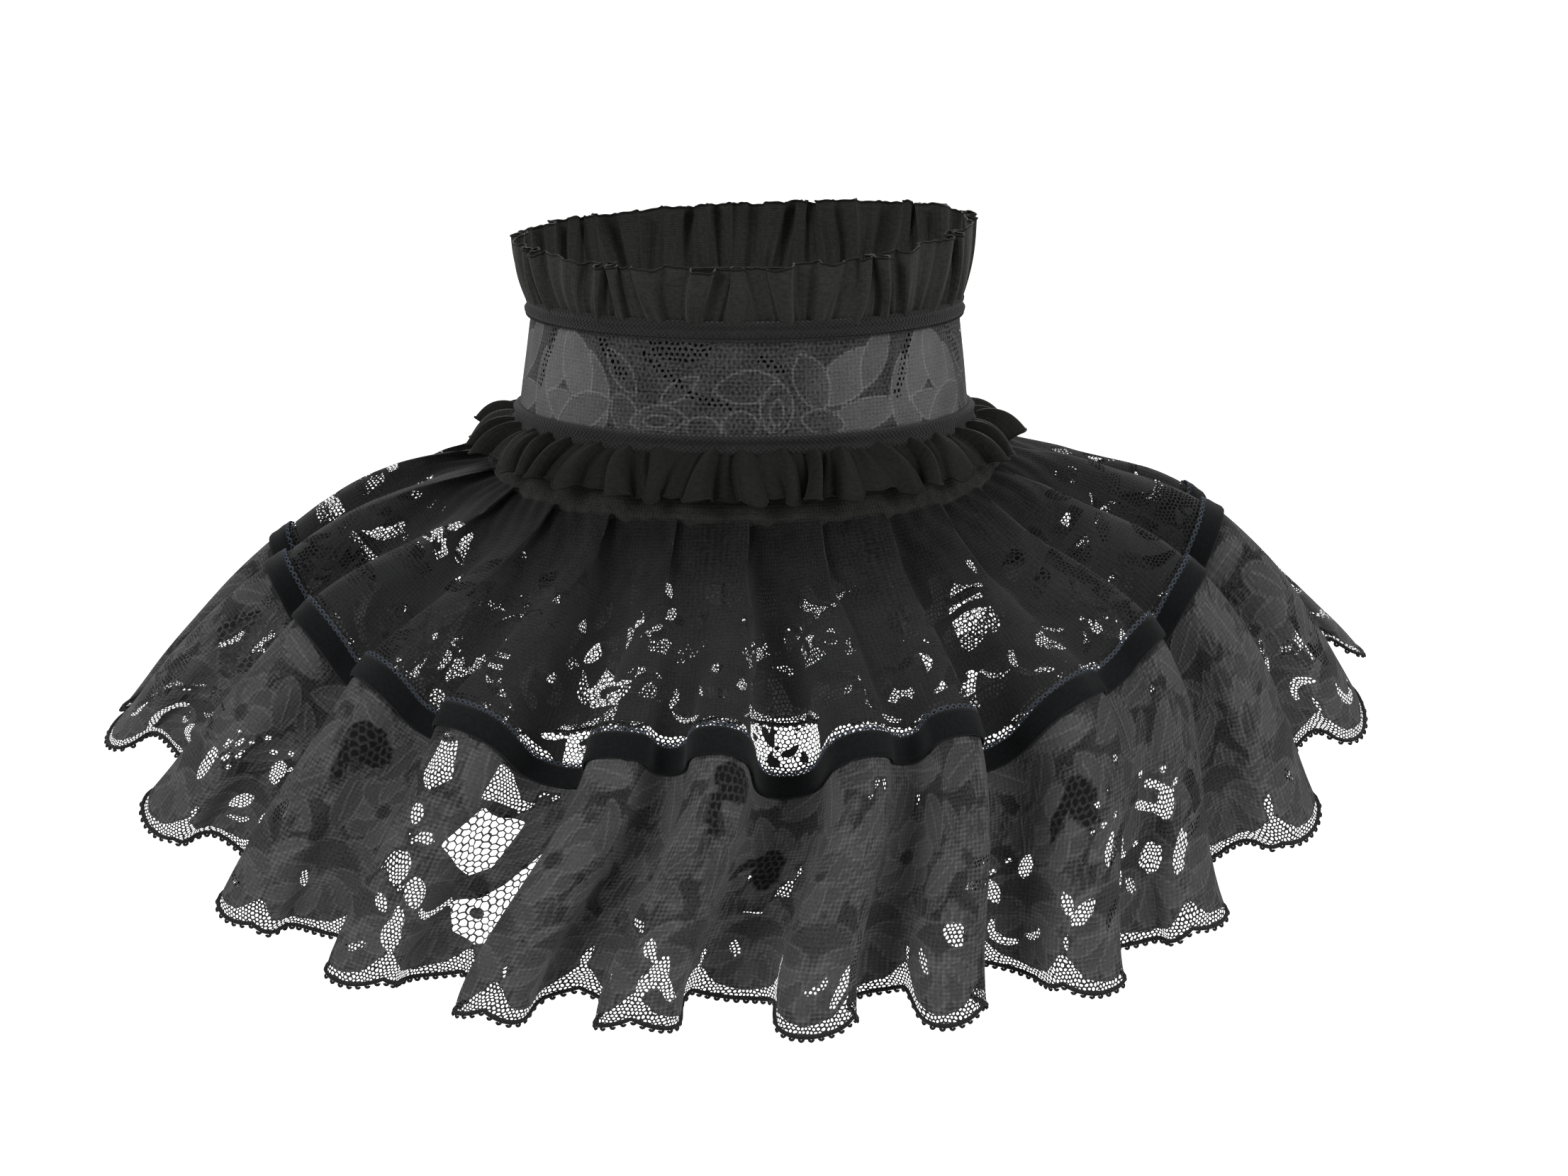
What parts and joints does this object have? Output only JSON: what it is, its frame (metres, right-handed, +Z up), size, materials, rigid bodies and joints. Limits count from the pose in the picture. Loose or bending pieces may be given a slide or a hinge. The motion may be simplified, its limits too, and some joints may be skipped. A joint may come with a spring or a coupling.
{
  "type": "lace collar",
  "caption": "Stand-up lace neckband between two small ruffles, with a pleated two-tier lace cape that hangs over the shoulders; fastens at the back.",
  "frame": {"origin": "on the neck's axis, level with the lower edge of the neck lace", "axes": "+Z up along the neck, -Y towards the front of the wearer, +X towards the wearer's left"},
  "size_m": [0.3602, 0.2938, 0.1982],
  "materials": {
    "chiffon": "gathered black chiffon, matt with a soft sheen on the gathers",
    "trim": "narrow woven black trim",
    "lining": "plain black lining",
    "neck_lace": "dark grey floral lace",
    "yoke": "plain black cloth",
    "upper_lace": "charcoal floral lace with open net",
    "ribbon": "near-black tape with a picot edge",
    "lower_lace": "grey floral lace with open net and a corded scalloped edge",
    "button": "small black buttons"
  },
  "bodies": {
    "root": {"top_ruffle": "chiffon", "lower_ruffle": "chiffon", "upper_trim": "trim", "lower_trim": "trim", "back_tab": "trim", "neck_lining": "lining", "neck_lace": "neck_lace", "yoke": "yoke", "upper_tier_right": "upper_lace", "upper_tier_left": "upper_lace", "hem_ribbon": "ribbon", "lower_tier_right": "lower_lace", "lower_tier_left": "lower_lace", "back_button_1": "button", "back_button_2": "button", "back_button_3": "button"}
  },
  "joints": []
}
